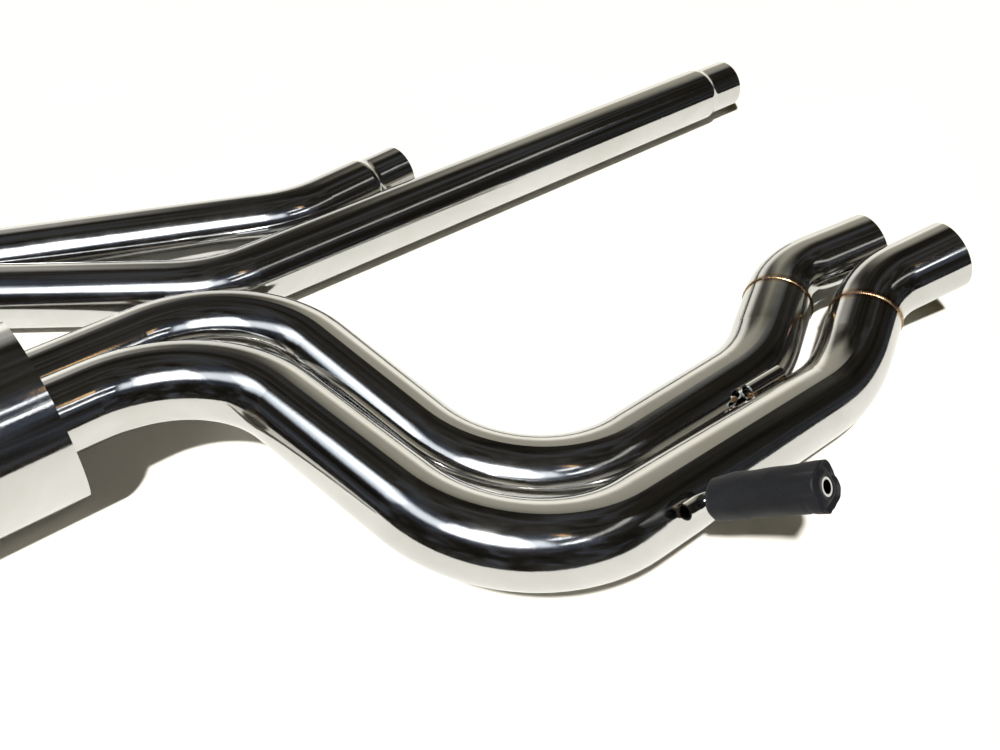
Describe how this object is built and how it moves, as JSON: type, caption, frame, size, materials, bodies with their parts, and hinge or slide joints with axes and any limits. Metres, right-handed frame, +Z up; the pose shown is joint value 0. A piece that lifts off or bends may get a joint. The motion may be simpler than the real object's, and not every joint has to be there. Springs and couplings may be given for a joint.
{
  "type": "racing exhaust system",
  "caption": "Polished stainless twin-pipe exhaust: a round muffler with over-axle and tail pipes, a hanger with a foam sleeve, and a separate merged crossover.",
  "frame": {"origin": "on the floor that the kit lies on, under the middle of its box", "axes": "+Z up from the floor, +X along the muffler's axis the way the gas leaves it, +Y towards the crossover"},
  "size_m": [1.413, 0.9912, 0.1524],
  "materials": {
    "polished_stainless": "mirror-polished stainless steel",
    "tinted_weld": "heat-tinted weld bead",
    "perforated_stainless": "dull mill finish",
    "steel_wool": "coarse stainless wool",
    "glass_fibre": "matted glass fibre",
    "black_foam": "matte closed-cell foam"
  },
  "bodies": {
    "muffler_section": {"muffler_shell": "polished_stainless", "shell_seam_weld": "tinted_weld", "muffler_inlet_cap": "polished_stainless", "muffler_outlet_cap": "polished_stainless", "inlet_cap_rim_weld": "tinted_weld", "outlet_cap_rim_weld": "tinted_weld", "inlet_pipe_welds": "tinted_weld", "outlet_pipe_welds": "tinted_weld", "acoustic_packing": "glass_fibre", "core_pipe_near": "perforated_stainless", "core_pipe_far": "perforated_stainless", "wool_wrap_near": "steel_wool", "wool_wrap_far": "steel_wool", "inlet_pipe_near": "polished_stainless", "inlet_pipe_far": "polished_stainless", "over_axle_pipe_near": "polished_stainless", "over_axle_pipe_far": "polished_stainless", "tail_pipe_near": "polished_stainless", "tail_pipe_far": "polished_stainless", "tail_weld_near": "tinted_weld", "tail_weld_far": "tinted_weld", "hanger_rod": "polished_stainless", "hanger_welds": "tinted_weld", "tie_rod": "polished_stainless", "tie_rod_welds": "tinted_weld"},
    "hanger_sleeve": {"hanger_foam_sleeve": "black_foam"},
    "crossover_section": {"crossover_pipe_long": "polished_stainless", "crossover_pipe_short": "polished_stainless", "crossover_merge_weld": "tinted_weld"}
  },
  "joints": [
    {"name": "sleeve_slide", "type": "slide", "parent": "muffler_section", "child": "hanger_sleeve", "axis": [0.2805, -0.7715, 0.5711], "range_m": [0, 0.09]},
    {"name": "crossover_lift", "type": "slide", "parent": "muffler_section", "child": "crossover_section", "axis": [0, 0, 1], "range_m": [0, 0.3]}
  ]
}
